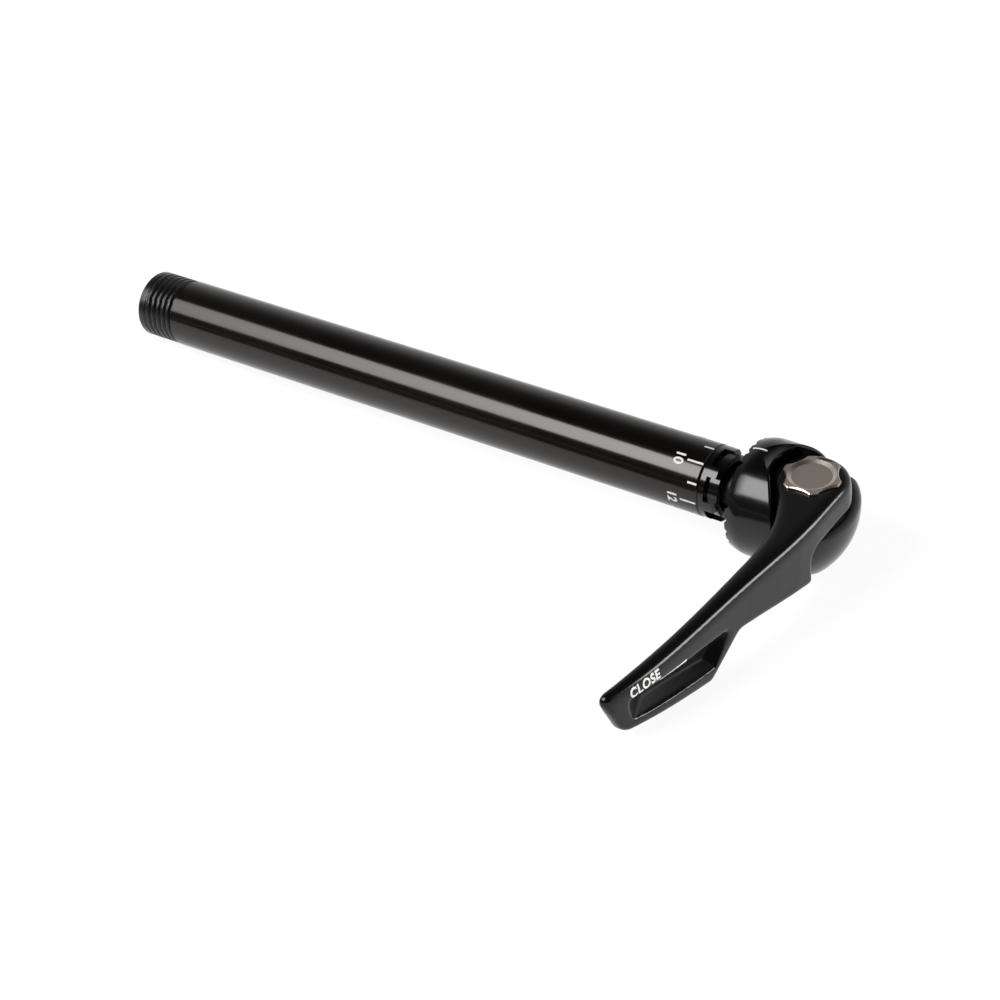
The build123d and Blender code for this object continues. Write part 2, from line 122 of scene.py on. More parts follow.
class Workbench:
    """Blender's modelling operators, for one piece at a time."""

    @staticmethod
    def take(obj: bpy.types.Object) -> None:
        """Make one object the only selected and the active one.

        Args:
            obj: the object.
        """
        bpy.ops.object.select_all(action="DESELECT")
        obj.select_set(True)
        bpy.context.view_layer.objects.active = obj

    @staticmethod
    def started(name: str) -> bpy.types.Object:
        """Name the primitive that an operator has just added.

        Args:
            name: the piece's name.

        Returns:
            The new object.
        """
        obj = bpy.context.object
        obj.name = name
        obj.data.name = name
        return obj

    @staticmethod
    def copied(node: bpy.types.Object, name: str) -> bpy.types.Object:
        """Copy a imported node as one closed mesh.

        Args:
            node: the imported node.
            name: the new piece's name.

        Returns:
            The copy, with its loose triangles joined.
        """
        obj = bpy.data.objects.new(name, node.data.copy())
        bpy.context.scene.collection.objects.link(obj)
        Workbench.take(obj)
        bpy.ops.mesh.customdata_custom_splitnormals_clear()
        bpy.ops.object.mode_set(mode="EDIT")
        bpy.ops.mesh.select_all(action="SELECT")
        bpy.ops.mesh.remove_doubles(threshold=TINY * MM)
        bpy.ops.object.mode_set(mode="OBJECT")
        return obj

    @staticmethod
    def apply(obj: bpy.types.Object, kind: str, **settings: float | bool | str) -> None:
        """Add a modifier to a piece and apply it.

        Args:
            obj: the piece.
            kind: the modifier's type.
            settings: the modifier's own settings.
        """
        Workbench.take(obj)
        modifier = obj.modifiers.new(kind.title(), kind)
        for setting, value in settings.items():
            setattr(modifier, setting, value)
        bpy.ops.object.modifier_apply(modifier=modifier.name)

    @staticmethod
    def settle(obj: bpy.types.Object, frame: AxleFrame, angle: float) -> None:
        """Move a mesh from the axle's frame into the model and smooth its faces.

        Args:
            obj: the piece, with its object at the origin.
            frame: the axle's frame.
            angle: edges up to this many degrees are smoothed.
        """
        obj.data.transform(frame.matrix)
        obj.data.update()
        Workbench.take(obj)
        bpy.ops.object.shade_smooth_by_angle(angle=math.radians(angle))


class Effects:
    """Shader node groups that several finishes share."""

    FINE_DETAIL = 3.0
    COARSE_DETAIL = 2.0
    CLOUD_DETAIL = 5.0
    CLOUD_RANGE = (0.35, 0.7)

    def __init__(self) -> None:
        """Build both groups once."""
        self.grain = self._grain()
        self.smudge = self._smudge()

    @staticmethod
    def _group(name: str, inputs: dict[str, str], outputs: dict[str, str]) -> bpy.types.NodeTree:
        """Start a shader group with named sockets.

        Args:
            name: the group's name.
            inputs: socket name to socket type.
            outputs: socket name to socket type.

        Returns:
            The empty group, with its input and output nodes.
        """
        group = bpy.data.node_groups.new(name, "ShaderNodeTree")
        for socket, kind in inputs.items():
            group.interface.new_socket(socket, in_out="INPUT", socket_type=kind)
        for socket, kind in outputs.items():
            group.interface.new_socket(socket, in_out="OUTPUT", socket_type=kind)
        group.nodes.new("NodeGroupInput").name = "in"
        group.nodes.new("NodeGroupOutput").name = "out"
        return group

    def _grain(self) -> bpy.types.NodeTree:
        """Fine blasted grain: two sizes of noise added up as a height.

        Returns:
            The group.
        """
        group = self._group(
            "FineGrain",
            {"Vector": "NodeSocketVector", "Scale": "NodeSocketFloat", "Coarse": "NodeSocketFloat"},
            {"Height": "NodeSocketFloat"},
        )
        source, sink = group.nodes["in"], group.nodes["out"]
        fine = group.nodes.new("ShaderNodeTexNoise")
        fill(fine, {"Detail": self.FINE_DETAIL})
        coarse = group.nodes.new("ShaderNodeTexNoise")
        fill(coarse, {"Detail": self.COARSE_DETAIL})
        both = group.nodes.new("ShaderNodeMath")
        both.operation = "ADD"
        link = group.links.new
        for noise in (fine, coarse):
            link(source.outputs["Vector"], noise.inputs["Vector"])
        link(source.outputs["Scale"], fine.inputs["Scale"])
        link(source.outputs["Coarse"], coarse.inputs["Scale"])
        link(fine.outputs["Fac"], both.inputs[0])
        link(coarse.outputs["Fac"], both.inputs[1])
        link(both.outputs[0], sink.inputs["Height"])
        return group

    def _smudge(self) -> bpy.types.NodeTree:
        """Handling marks: cloudy noise that drifts the colour and the roughness between two values.

        Returns:
            The group.
        """
        group = self._group(
            "HandlingMarks",
            {
                "Vector": "NodeSocketVector",
                "Scale": "NodeSocketFloat",
                "Colour": "NodeSocketColor",
                "Worn Colour": "NodeSocketColor",
                "Roughness": "NodeSocketFloat",
                "Worn Roughness": "NodeSocketFloat",
            },
            {"Colour": "NodeSocketColor", "Roughness": "NodeSocketFloat"},
        )
        source, sink = group.nodes["in"], group.nodes["out"]
        cloud = group.nodes.new("ShaderNodeTexNoise")
        fill(cloud, {"Detail": self.CLOUD_DETAIL})
        spread = group.nodes.new("ShaderNodeMapRange")
        low, high = self.CLOUD_RANGE
        fill(spread, {"From Min": low, "From Max": high})
        tint = group.nodes.new("ShaderNodeMix")
        tint.data_type = "RGBA"
        dull = group.nodes.new("ShaderNodeMix")
        link = group.links.new
        link(source.outputs["Vector"], cloud.inputs["Vector"])
        link(source.outputs["Scale"], cloud.inputs["Scale"])
        link(cloud.outputs["Fac"], spread.inputs["Value"])
        for mix in (tint, dull):
            link(spread.outputs["Result"], mix.inputs["Factor"])
        link(source.outputs["Colour"], tint.inputs[6])
        link(source.outputs["Worn Colour"], tint.inputs[7])
        link(source.outputs["Roughness"], dull.inputs[2])
        link(source.outputs["Worn Roughness"], dull.inputs[3])
        link(tint.outputs[2], sink.inputs["Colour"])
        link(dull.outputs[0], sink.inputs["Roughness"])
        return group


@dataclass(frozen=True)
class Finish:
    """One surface finish: colour, gloss, handling marks and grain."""

    name: str
    colour: Colour
    worn: Colour
    roughness: float
    worn_roughness: float
    metallic: float = 0.0
    ior: float = 1.5
    smudge_scale: float = 60.0
    grain_scale: float = 5000.0
    coarse_share: float = 0.25
    grain_bump: float = 0.05
    grain_height: float = 0.02
    sheen: Colour = (1.0, 1.0, 1.0)

    def material(self, effects: Effects) -> bpy.types.Material:
        """Build the finish as a node material.

        Args:
            effects: the shared node groups.

        Returns:
            The material.
        """
        made = bpy.data.materials.new(self.name)
        made.use_nodes = True
        tree = made.node_tree
        link = tree.links.new
        shader = tree.nodes["Principled BSDF"]
        fill(shader, {"Metallic": self.metallic, "IOR": self.ior, "Specular Tint": (*self.sheen, 1.0)})
        where = tree.nodes.new("ShaderNodeTexCoord")
        marks = tree.nodes.new("ShaderNodeGroup")
        marks.node_tree = effects.smudge
        fill(marks, {
            "Scale": self.smudge_scale,
            "Colour": (*self.colour, 1.0),
            "Worn Colour": (*self.worn, 1.0),
            "Roughness": self.roughness,
            "Worn Roughness": self.worn_roughness,
        })
        grain = tree.nodes.new("ShaderNodeGroup")
        grain.node_tree = effects.grain
        fill(grain, {"Scale": self.grain_scale, "Coarse": self.grain_scale * self.coarse_share})
        bump = tree.nodes.new("ShaderNodeBump")
        fill(bump, {"Strength": self.grain_bump, "Distance": self.grain_height * MM})
        for group in (marks, grain):
            link(where.outputs["Object"], group.inputs["Vector"])
        link(marks.outputs["Colour"], shader.inputs["Base Color"])
        link(marks.outputs["Roughness"], shader.inputs["Roughness"])
        link(grain.outputs["Height"], bump.inputs["Height"])
        link(bump.outputs["Normal"], shader.inputs["Normal"])
        return made


@dataclass(frozen=True)
class TurnedFinish(Finish):
    """A finish with the fine rings that a lathe leaves about the camshaft."""

    ring_scale: float = 900.0
    ring_drift: float = 1.5
    ring_bump: float = 0.12
    ring_height: float = 0.02

    @staticmethod
    def centred(tree: bpy.types.NodeTree, frame: AxleFrame) -> bpy.types.NodeSocket:
        """Coordinates along the axle's axes, in metres from the middle of the camshaft.

        Args:
            tree: the material's nodes.
            frame: the axle's frame.

        Returns:
            The socket that gives them.
        """
        where = tree.nodes.new("ShaderNodeTexCoord")
        centre = tree.nodes.new("ShaderNodeMapping")
        centre.vector_type = "TEXTURE"
        fill(centre, {"Location": frame.place((PIN_X, 0.0, 0.0)), "Rotation": frame.matrix.to_euler()})
        tree.links.new(where.outputs["Object"], centre.inputs["Vector"])
        return centre.outputs["Vector"]

    def framed(self, effects: Effects, frame: AxleFrame) -> bpy.types.Material:
        """Build the finish with its rings centred on the camshaft.

        Args:
            effects: the shared node groups.
            frame: the axle's frame, which gives the camshaft's place and direction.

        Returns:
            The material.
        """
        made = self.material(effects)
        tree = made.node_tree
        link = tree.links.new
        rings = tree.nodes.new("ShaderNodeTexWave")
        rings.wave_type = "RINGS"
        rings.rings_direction = "Z"
        fill(rings, {"Scale": self.ring_scale, "Distortion": self.ring_drift})
        bump = tree.nodes.new("ShaderNodeBump")
        fill(bump, {"Strength": self.ring_bump, "Distance": self.ring_height * MM})
        first = next(node for node in tree.nodes if node.type == "BUMP" and node != bump)
        link(self.centred(tree, frame), rings.inputs["Vector"])
        link(rings.outputs["Fac"], bump.inputs["Height"])
        link(first.outputs["Normal"], bump.inputs["Normal"])
        link(bump.outputs["Normal"], tree.nodes["Principled BSDF"].inputs["Normal"])
        return made


class Coat(Enum):
    """The axle's finishes."""

    TUBE = Finish(
        "tube_anodised",
        (0.0032, 0.0020, 0.0017),
        (0.0042, 0.0028, 0.0024),
        0.14,
        0.17,
        sheen=(1.0, 0.95, 0.92),
    )
    THREAD = Finish("thread_anodised", (0.0032, 0.0024, 0.0022), (0.0042, 0.0032, 0.003), 0.26, 0.32)
    RING = Finish("ring_anodised", (0.003, 0.0026, 0.0024), (0.004, 0.0034, 0.0032), 0.10, 0.14)
    HOUSING = Finish(
        "housing_anodised", (0.003, 0.0028, 0.0025), (0.004, 0.0037, 0.0034), 0.15, 0.18, ior=1.45
    )
    LEVER = Finish("lever_anodised", (0.003, 0.0028, 0.0025), (0.004, 0.0037, 0.0034), 0.13, 0.17, ior=1.36)
    RECESS = Finish(
        "recess_anodised",
        (0.003, 0.0026, 0.0024),
        (0.004, 0.0034, 0.0032),
        0.44,
        0.5,
        ior=1.2,
        grain_bump=0.2,
    )
    ROD = Finish("rod_oxide", (0.014, 0.014, 0.015), (0.022, 0.021, 0.02), 0.30, 0.42)
    STEEL = Finish("plain_steel", (0.42, 0.42, 0.43), (0.36, 0.36, 0.37), 0.28, 0.38, metallic=1.0)
    WIRE = Finish("spring_wire", (0.34, 0.34, 0.35), (0.28, 0.28, 0.29), 0.25, 0.35, metallic=1.0)
    BRONZE = Finish("bush_bronze", (0.48, 0.33, 0.16), (0.40, 0.27, 0.13), 0.30, 0.42, metallic=1.0)
    SEAL = Finish("seal_rubber", (0.008, 0.008, 0.008), (0.014, 0.014, 0.014), 0.55, 0.68, grain_bump=0.2)
    PRINT = Finish("white_print", (0.80, 0.80, 0.79), (0.74, 0.74, 0.73), 0.45, 0.55)
    STAR = TurnedFinish("star_nickel", (0.66, 0.585, 0.515), (0.58, 0.51, 0.45), 0.34, 0.42, metallic=1.0)


NODE_COATS = {
    "index_ring": Coat.RING,
    "thrust_washer": Coat.STEEL,
    "hex_follower": Coat.STEEL,
    "draw_rod": Coat.ROD,
    "neck_seal": Coat.SEAL,
    "cam_housing": Coat.HOUSING,
    "upper_bush": Coat.BRONZE,
    "lower_bush": Coat.BRONZE,
    "camshaft": Coat.STAR,
    "shaft_washer": Coat.STEEL,
    "circlip": Coat.WIRE,
}


class Paints:
    """Every finish of the axle, built once as a material."""

    def __init__(self, frame: AxleFrame) -> None:
        """Build all finishes.

        Args:
            frame: the axle's frame.
        """
        effects = Effects()
        self.made = {}
        for coat in Coat:
            finish = coat.value
            turned = isinstance(finish, TurnedFinish)
            self.made[coat] = finish.framed(effects, frame) if turned else finish.material(effects)

    def coat(self, obj: bpy.types.Object, coat: Coat) -> None:
        """Give a piece one finish all over."""
        obj.data.materials.clear()
        obj.data.materials.append(self.made[coat])


@dataclass
class ThreadedTube:
    """The axle's tube, with the helical thread that its plain solid leaves out."""

    diameter: float = 15.0
    length: float = 149.4
    bore_d: float = 10.4
    spring_bore_d: float = 12.0
    spring_bore_depth: float = 25.0
    seam_edge: float = 0.3
    thread_d: float = 14.85
    thread_length: float = 10.2
    lead: float = 0.4
    nose: float = 1.7
    runout: float = 0.5
    pitch: float = 1.5
    depth: float = 0.6
    crest_share: float = 0.30
    root_share: float = 0.16
    segments: int = 180
    rings_per_pitch: int = 14
    smooth_angle: float = 24.0

    def profile(self) -> list[tuple[float, float]]:
        """Corners of the tube, from the bore's thread end out, along and back in.

        Returns:
            Each corner's x and radius.
        """
        crest = self.thread_d / 2
        thread_end = self.thread_length - self.runout
        steps = round(thread_end / self.pitch * self.rings_per_pitch)
        turns = [(thread_end * k / steps, crest) for k in range(1, steps + 1)]
        seat = self.length - self.spring_bore_depth
        return [
            (0.0, self.bore_d / 2),
            (0.0, crest - self.lead),
            *turns,
            (thread_end, crest - self.depth),
            (self.thread_length, crest - self.depth),
            (self.thread_length, self.diameter / 2),
            (self.length - self.seam_edge, self.diameter / 2),
            (self.length, self.diameter / 2 - self.seam_edge),
            (self.length, self.spring_bore_d / 2),
            (seat, self.spring_bore_d / 2),
            (seat, self.bore_d / 2),
            (0.0, self.bore_d / 2),
        ]

    def thread_radius(self, x: float, angle: float) -> float:
        """Radius of the right-hand thread at a place along and round the tube.

        Args:
            x: the place along the tube.
            angle: the angle round it, in radians.

        Returns:
            The radius.
        """
        phase = (x / self.pitch - angle / math.tau) % 1.0
        off_crest = abs(phase - 0.5) - self.crest_share / 2
        flank = (1.0 - self.crest_share - self.root_share) / 2
        drop = held(off_crest / flank)
        begun = held((x - self.nose) / self.pitch)
        lead_in = self.thread_d / 2 - self.lead + x
        return min(self.thread_d / 2 - self.depth * drop * begun, lead_in)

    def carve(self, mesh: bpy.types.Mesh) -> None:
        """Draw the thread's rings down to the helix.

        Args:
            mesh: the tube's mesh, in the axle's frame.
        """
        inner = (self.bore_d + self.thread_d) / 4
        thread_end = self.thread_length - self.runout
        for vertex in mesh.vertices:
            x, y, z = vertex.co
            radius = math.hypot(y, z)
            on_crest = radius > self.thread_d / 2 - self.depth / 2
            if radius > inner and on_crest and 0.0 < x <= thread_end + TINY:
                cut = self.thread_radius(x, math.atan2(z, y)) / radius
                vertex.co = (x, y * cut, z * cut)

    def build(self, frame: AxleFrame) -> bpy.types.Object:
        """Extrude the tube ring by ring, close it and cut its thread.

        Args:
            frame: the axle's frame.

        Returns:
            The tube.
        """
        corners = self.profile()
        x, radius = corners[0]
        bpy.ops.object.select_all(action="DESELECT")
        upright = (0.0, math.pi / 2, 0.0)
        bpy.ops.mesh.primitive_circle_add(vertices=self.segments, radius=radius, rotation=upright)
        tube = Workbench.started("axle_tube_threaded")
        bpy.ops.object.transform_apply(location=True, rotation=True, scale=True)
        bpy.ops.object.mode_set(mode="EDIT")
        bpy.ops.mesh.select_all(action="SELECT")
        for next_x, next_radius in corners[1:]:
            bpy.ops.mesh.extrude_edges_move(TRANSFORM_OT_translate={"value": (next_x - x, 0.0, 0.0)})
            grow = next_radius / radius
            bpy.ops.transform.resize(value=(1.0, grow, grow), center_override=(next_x, 0.0, 0.0))
            x, radius = next_x, next_radius
        bpy.ops.mesh.select_all(action="SELECT")
        bpy.ops.mesh.remove_doubles(threshold=TINY)
        bpy.ops.mesh.normals_make_consistent(inside=False)
        bpy.ops.object.mode_set(mode="OBJECT")
        self.carve(tube.data)
        Workbench.settle(tube, frame, self.smooth_angle)
        return tube

    def dress(self, tube: bpy.types.Object, frame: AxleFrame, paints: Paints) -> None:
        """Coat the tube, with a duller coat on its thread.

        Args:
            tube: the finished tube.
            frame: the axle's frame.
            paints: every finish.
        """
        paints.coat(tube, Coat.TUBE)
        tube.data.materials.append(paints.made[Coat.THREAD])
        back = frame.matrix.inverted()
        for face in tube.data.polygons:
            face.material_index = int((back @ face.center).x < self.thread_length)


@dataclass
class ReturnSpring:
    """The coil spring in the tube's head end, which shortens against its seat as the head is pushed in; this
    copy keeps its imported shape.
    """

    seat_x: float = 124.4
    travel: float = 4.0
    smooth_angle: float = 40.0

    def build(self, node: bpy.types.Object, frame: AxleFrame) -> bpy.types.Object:
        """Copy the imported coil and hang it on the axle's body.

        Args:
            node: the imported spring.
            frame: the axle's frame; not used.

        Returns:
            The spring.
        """
        obj = Workbench.copied(node, "return_spring_coil")
        bpy.ops.object.shade_smooth_by_angle(angle=math.radians(self.smooth_angle))
        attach(obj, "axle")
        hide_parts("return_spring")
        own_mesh(obj)
        return obj


@dataclass
class CrownedLever:
    """The lever, with the softly crowned top that its solid has as a plain rounded edge.

    Attributes:
        voxel: edge of the even mesh.
        smooth_factor: how far each turn of smoothing goes.
        settle_turns: turns over the whole lever.
        crown_turns: turns on what the weights choose.
        crown_z: heights between which the crowning sets in.
        tip_y: where it fades towards the tip, down to tip_share.
        outer_way: x of the normals between which it rises from inner_share to all.
        recess_y: the thumb recess's ends, at the tip and at the waist.
        recess_middle_z: the middle's heights there.
        recess_rise: how far from the middle its softening sets in.
        recess_lead: how far before the tip's end that is.
        recess_tail: how far past the waist's end it fades.
        recess_share: how strong it is.
        recess_from_side: the mouth's distance from the eye's side.
        recess_turn: the mouth's turn, in degrees.
        recess_depth: depths below the mouth that get the duller coat.
        recess_z: heights that get it.
    """

    voxel: float = 0.22
    smooth_factor: float = 0.5
    settle_turns: int = 10
    crown_turns: int = 240
    crown_z: tuple[float, float] = (5.0, 7.0)
    tip_y: tuple[float, float] = (-72.0, -50.0)
    tip_share: float = 0.4
    outer_way: tuple[float, float] = (-0.5, 0.2)
    inner_share: float = 0.3
    recess_y: tuple[float, float] = (-66.3, -38.4)
    recess_middle_z: tuple[float, float] = (2.6, -0.6)
    recess_rise: tuple[float, float] = (-1.0, 0.5)
    recess_lead: tuple[float, float] = (-3.0, -1.0)
    recess_tail: float = 2.0
    recess_share: float = 0.25
    recess_from_side: float = 5.25
    recess_turn: float = 8.4
    recess_middle_y: float = -52.2
    recess_depth: tuple[float, float] = (0.1, 2.6)
    recess_z: tuple[float, float] = (-3.6, 5.5)
    eye_d: float = 15.0

    @staticmethod
    def ramp(value: float, low: float, high: float) -> float:
        """How far a value is from one limit to another, held between 0 and 1."""
        return held((value - low) / (high - low))

    def crown_weight(self, point: Vector, normal: Vector) -> float:
        """How much a point takes part in the crowning: less at the tip and on the inner side.

        Args:
            point: its place in the axle's frame.
            normal: its normal in that frame.

        Returns:
            The share, from 0 to 1.
        """
        rise = self.ramp(point.z, *self.crown_z)
        along = self.ramp(point.y, *self.tip_y)
        outer = self.ramp(normal.x, *self.outer_way)
        crown = rise * (self.tip_share + (1.0 - self.tip_share) * along)
        return crown * (self.inner_share + (1.0 - self.inner_share) * outer)

    def recess_weight(self, point: Vector) -> float:
        """How much a point takes part in the softening of the recess's upper and tip edges.

        Args:
            point: its place in the axle's frame.

        Returns:
            The share, from 0 to 1.
        """
        tip, waist = self.recess_y
        at_tip, at_waist = self.recess_middle_z
        middle = at_tip + (at_waist - at_tip) * self.ramp(point.y, tip, waist)
        below, above = self.recess_rise
        start, full = self.recess_lead
        rise = self.ramp(point.z, middle + below, middle + above)
        lead = self.ramp(point.y, tip + start, tip + full)
        tail = self.ramp(waist - point.y, -self.recess_tail, 0.0)
        return self.recess_share * rise * lead * tail

    def build(self, node: bpy.types.Object, frame: AxleFrame) -> bpy.types.Object:
        """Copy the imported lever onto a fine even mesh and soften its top.

        Args:
            node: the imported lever.
            frame: the axle's frame.

        Returns:
            The crowned lever.
        """
        obj = Workbench.copied(node, "lever_crowned")
        Workbench.apply(obj, "REMESH", mode="VOXEL", voxel_size=self.voxel * MM)
        back = frame.matrix.inverted()
        turned = back.to_3x3()
        crown = obj.vertex_groups.new(name="crown")
        for vertex in obj.data.vertices:
            point, normal = back @ vertex.co, (turned @ vertex.normal).normalized()
            share = max(self.crown_weight(point, normal), self.recess_weight(point))
            crown.add([vertex.index], share, "REPLACE")
        factor = self.smooth_factor
        Workbench.apply(obj, "SMOOTH", factor=factor, iterations=self.settle_turns)
        Workbench.apply(obj, "SMOOTH", factor=factor, iterations=self.crown_turns, vertex_group="crown")
        obj.vertex_groups.clear()
        Workbench.take(obj)
        bpy.ops.object.shade_smooth()
        return obj

    def dress(self, lever: bpy.types.Object, frame: AxleFrame, paints: Paints) -> None:
        """Coat the lever, with a duller coat in its thumb recess.

        Args:
            lever: the crowned lever.
            frame: the axle's frame.
            paints: every finish.
        """
        paints.coat(lever, Coat.LEVER)
        lever.data.materials.append(paints.made[Coat.RECESS])
        back = frame.matrix.inverted()
        turn = math.radians(self.recess_turn)
        out = Vector((math.cos(turn), -math.sin(turn), 0.0))
        middle = Vector((PIN_X + self.eye_d / 2 - self.recess_from_side, self.recess_middle_y, 0.0))
        limits = (self.recess_depth, self.recess_y, self.recess_z)
        for face in lever.data.polygons:
            at = back @ face.center
            places = (out.dot(middle - at), at.y, at.z)
            within = all(low < place < high for place, (low, high) in zip(places, limits))
            face.material_index = int(within)


class Surface:
    """A piece's skin, in the axle's frame, onto which marks are printed."""

    def __init__(self, piece: bpy.types.Object, frame: AxleFrame) -> None:
        """Keep the piece's faces for ray casts.

        Args:
            piece: the piece that carries the marks.
            frame: the axle's frame.
        """
        back = frame.matrix.inverted()
        points = [back @ vertex.co for vertex in piece.data.vertices]
        faces = [tuple(face.vertices) for face in piece.data.polygons]
        self.tree = BVHTree.FromPolygons(points, faces)

    def seen(self, start: Vector, way: Vector) -> tuple[Vector, Vector]:
        """The first point that a ray meets, and the way that faces it.

        Args:
            start: where the ray starts.
            way: its direction.

        Returns:
            The point, and the way back along the ray.
        """
        hit = self.tree.ray_cast(start, way)[0]
        if hit is None:
            raise ValueError(f"no surface under {tuple(start)}")
        return hit, -way


@dataclass
class Prints:
    """White marks: the scale round the tube, the pointer on the collar and the sign on the lever."""

    lift: float = 0.012
    ink: float = 0.018
    smooth_angle: float = 30.0
    ray_start: float = 20.0
    capital_share: float = 0.7
    letter_turns: int = 6
    letter_cuts: int = 2
    bar_squares: tuple[int, int] = (4, 12)
    tube_r: float = 7.5
    first_tick: float = 86.0
    tick_step: float = 360.0 / 11
    tick_end: float = 149.2
    tick_width: float = 0.42
    long_tick: float = 3.6
    short_tick: float = 2.1
    number_x: float = 143.7
    number_height: float = 2.05
    number_weight: float = 0.08
    first_number: int = 9
    lowest_number: int = 2
    collar_r: float = 12.0
    pointer_angle: float = 91.5
    pointer_x: tuple[float, float] = (158.7, 161.8)
    sign_y: tuple[float, float] = (-65.75, -58.45)
    sign_z: float = 5.45
    sign_height: float = 2.15
    sign_weight: float = 0.10
    sign_lean: float = -0.12
    sign_space: float = 1.1
    stroke: tuple[Point, ...] = (
        (-58.7, 5.06, 0.14),
        (-56.9, 4.74, 0.22),
        (-55.1, 4.58, 0.32),
        (-53.3, 4.46, 0.42),
        (-51.4, 4.36, 0.46),
    )

    def tube_lay(self, x: float, angle: float) -> Lay:
        """Wrap a flat mark round the tube: u runs round it, v along it towards the head.

        Args:
            x: the mark's place along the tube.
            angle: its angle round the tube, in degrees.

        Returns:
            What places a point of the mark.
        """

        def lay(u: float, v: float) -> tuple[Vector, Vector]:
            """Place one point of the mark.

            Args:
                u: how far round.
                v: how far along.

            Returns:
                The point and the normal there.
            """
            turn = math.radians(angle) + u / self.tube_r
            normal = Vector((0.0, math.cos(turn), math.sin(turn)))
            return Vector((x + v, 0.0, 0.0)) + normal * self.tube_r, normal

        return lay

    def collar_lay(self, collar: Surface) -> Lay:
        """Wrap a flat mark round the collar: u runs round it, v along it.

        Args:
            collar: the collar's skin.

        Returns:
            What places a point of the mark.
        """

        def lay(u: float, v: float) -> tuple[Vector, Vector]:
            """Place one point of the mark.

            Args:
                u: how far round.
                v: how far along.

            Returns:
                The point and the normal there.
            """
            turn = math.radians(self.pointer_angle) + u / self.collar_r
            outward = Vector((0.0, math.cos(turn), math.sin(turn)))
            return collar.seen(Vector((v, 0.0, 0.0)) + outward * self.ray_start, -outward)

        return lay

    def lever_lay(self, lever: Surface) -> Lay:
        """Lay a flat mark on the lever's outer face: u runs towards the head, v up.

        Args:
            lever: the lever's skin.

        Returns:
            What places a point of the mark.
        """

        def lay(u: float, v: float) -> tuple[Vector, Vector]:
            """One point of the mark and the normal there."""
            return lever.seen(Vector((PIN_X + self.ray_start, u, v)), Vector((-1.0, 0.0, 0.0)))

        return lay

    def print_flat(self, obj: bpy.types.Object, lay: Lay, frame: AxleFrame) -> bpy.types.Object:
        """Lay a flat mesh on a surface as a thin film of ink.

        Args:
            obj: a mesh in its own XY plane.
            lay: where its points go.
            frame: the axle's frame.

        Returns:
            The finished mark.
        """
        for vertex in obj.data.vertices:
            point, normal = lay(vertex.co.x, vertex.co.y)
            vertex.co = point + normal * self.lift
        obj.data.update()
        Workbench.apply(obj, "SOLIDIFY", thickness=self.ink, offset=1.0)
        Workbench.settle(obj, frame, self.smooth_angle)
        return obj

    def bar(self, name: str, size: tuple[float, float], middle: tuple[float, float]) -> bpy.types.Object:
        """A flat bar of small squares.

        Args:
            name: the piece's name.
            size: its width along u and length along v.
            middle: its middle.

        Returns:
            The bar, at the origin.
        """
        bpy.ops.object.select_all(action="DESELECT")
        across, along = self.bar_squares
        bpy.ops.mesh.primitive_grid_add(x_subdivisions=across, y_subdivisions=along, size=1.0)
        obj = Workbench.started(name)
        obj.scale = (size[0], size[1], 1.0)
        obj.location = (middle[0], middle[1], 0.0)
        bpy.ops.object.transform_apply(location=True, rotation=True, scale=True)
        return obj

    def word(
        self, name: str, text: str, height: float, weight: float, lean: float = 0.0, space: float = 1.0
    ) -> bpy.types.Object:
        """Generic numbers or a plain word as a flat mesh, centred at the origin.

        Args:
            name: the piece's name.
            text: what it reads.
            height: its capitals' height.
            weight: how much its strokes are thickened.
            lean: how far it leans.
            space: the room that each letter takes, as a share of the usual.

        Returns:
            The mesh.
        """
        bpy.ops.object.select_all(action="DESELECT")
        bpy.ops.object.text_add()
        obj = Workbench.started(name)
        obj.data.body = text
        obj.data.align_x = "CENTER"
        obj.data.align_y = "CENTER"
        obj.data.size = height / self.capital_share
        obj.data.shear = lean
        obj.data.space_character = space
        obj.data.offset = weight
        obj.data.resolution_u = self.letter_turns
        bpy.ops.object.convert(target="MESH")
        obj = bpy.context.object
        bpy.ops.object.mode_set(mode="EDIT")
        bpy.ops.mesh.select_all(action="SELECT")
        bpy.ops.mesh.remove_doubles(threshold=TINY)
        bpy.ops.mesh.quads_convert_to_tris()
        bpy.ops.mesh.subdivide(number_cuts=self.letter_cuts)
        bpy.ops.object.mode_set(mode="OBJECT")
        return obj

    def scale_marks(self, frame: AxleFrame) -> list[bpy.types.Object]:
        """The ticks and even numbers round the tube.

        Args:
            frame: the axle's frame.

        Returns:
            The finished marks.
        """
        made = []
        count = round(360.0 / self.tick_step)
        for k in range(count):
            number = (self.first_number + k - self.lowest_number) % count + self.lowest_number
            angle = self.first_tick + k * self.tick_step
            length = self.short_tick if number % 2 else self.long_tick
            tick = self.bar(f"scale_tick_{number}", (self.tick_width, length), (0.0, -length / 2))
            made.append(self.print_flat(tick, self.tube_lay(self.tick_end, angle), frame))
            if number % 2 == 0:
                name = f"scale_number_{number}"
                figure = self.word(name, str(number), self.number_height, self.number_weight)
                made.append(self.print_flat(figure, self.tube_lay(self.number_x, angle), frame))
        return made

    def pointer(self, collar: Surface, frame: AxleFrame) -> bpy.types.Object:
        """The collar's white pointer.

        Args:
            collar: the collar's skin.
            frame: the axle's frame.

        Returns:
            The finished mark.
        """
        start, end = self.pointer_x
        bar = self.bar("collar_pointer", (self.tick_width, end - start), (0.0, (start + end) / 2))
        return self.print_flat(bar, self.collar_lay(collar), frame)

